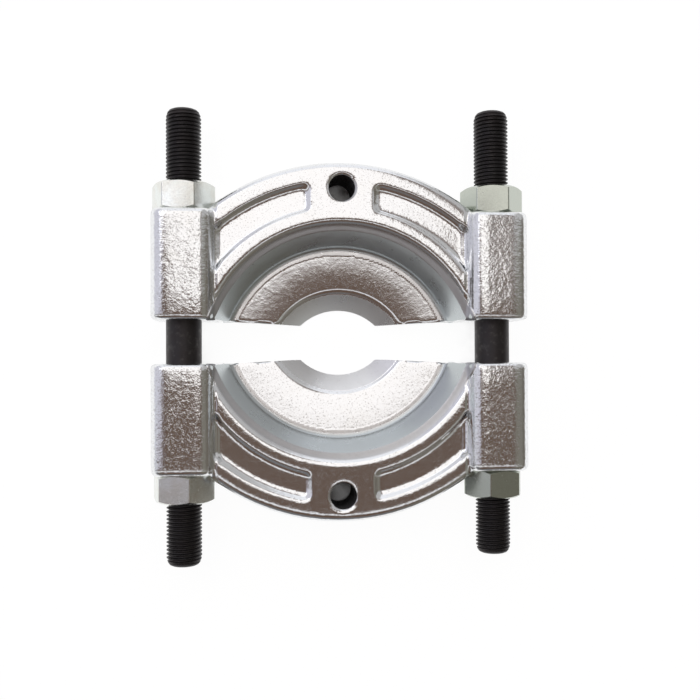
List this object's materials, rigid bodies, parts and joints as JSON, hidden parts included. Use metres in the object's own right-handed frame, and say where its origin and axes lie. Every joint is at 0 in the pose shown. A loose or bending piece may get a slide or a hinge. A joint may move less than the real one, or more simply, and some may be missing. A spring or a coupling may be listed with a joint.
{
  "type": "bearing separator",
  "caption": "Bearing separator: knife-edged forged jaws slide on threaded studs and are drawn together by hex nuts round a shaft, behind a bearing.",
  "frame": {"origin": "on the flat back plane, midway between the studs and at their shared mid-length", "axes": "+X from the left stud to the right stud, +Y along the studs towards the upper jaw, +Z out of the flat backs towards the dished side"},
  "size_m": [0.1497, 0.1818, 0.028],
  "materials": {
    "plated_forging": "bright plating over a pitted forged skin, smoother on the turned recess and bevel",
    "black_oxide_steel": "black oxide, satin, lightly oiled",
    "zinc_plated_steel": "clear zinc plating, satin with a pale cast"
  },
  "bodies": {
    "studs": {"left_stud": "black_oxide_steel", "right_stud": "black_oxide_steel"},
    "upper_jaw": {"upper_jaw": "plated_forging"},
    "lower_jaw": {"lower_jaw": "plated_forging"},
    "upper_left_nut": {"upper_left_nut": "zinc_plated_steel"},
    "upper_right_nut": {"upper_right_nut": "zinc_plated_steel"},
    "lower_left_nut": {"lower_left_nut": "zinc_plated_steel"},
    "lower_right_nut": {"lower_right_nut": "zinc_plated_steel"}
  },
  "joints": [
    {"name": "upper_jaw_slide", "type": "slide", "parent": "studs", "child": "upper_jaw", "axis": [0, 1, 0], "range_m": [-0.0069, 0.027]},
    {"name": "lower_jaw_slide", "type": "slide", "parent": "studs", "child": "lower_jaw", "axis": [0, -1, 0], "range_m": [-0.0069, 0.021]},
    {"name": "upper_left_nut_turn", "type": "hinge", "parent": "upper_jaw", "child": "upper_left_nut", "pos_m": [-0.0623, 0.0541, 0.014], "axis": [0, 1, 0], "range_deg": [-1658, 6482]},
    {"name": "upper_right_nut_turn", "type": "hinge", "parent": "upper_jaw", "child": "upper_right_nut", "pos_m": [0.0623, 0.0541, 0.014], "axis": [0, 1, 0], "range_deg": [-1658, 6482]},
    {"name": "lower_left_nut_turn", "type": "hinge", "parent": "lower_jaw", "child": "lower_left_nut", "pos_m": [-0.0623, -0.0605, 0.014], "axis": [0, -1, 0], "range_deg": [-1658, 5042]},
    {"name": "lower_right_nut_turn", "type": "hinge", "parent": "lower_jaw", "child": "lower_right_nut", "pos_m": [0.0623, -0.0605, 0.014], "axis": [0, -1, 0], "range_deg": [-1658, 5042]}
  ],
  "couplings": [
    {"joint": "upper_left_nut_turn", "follows": "upper_jaw_slide", "rad_per_m": 4188.8},
    {"joint": "upper_right_nut_turn", "follows": "upper_jaw_slide", "rad_per_m": 4188.8},
    {"joint": "lower_left_nut_turn", "follows": "lower_jaw_slide", "rad_per_m": 4188.8},
    {"joint": "lower_right_nut_turn", "follows": "lower_jaw_slide", "rad_per_m": 4188.8}
  ]
}
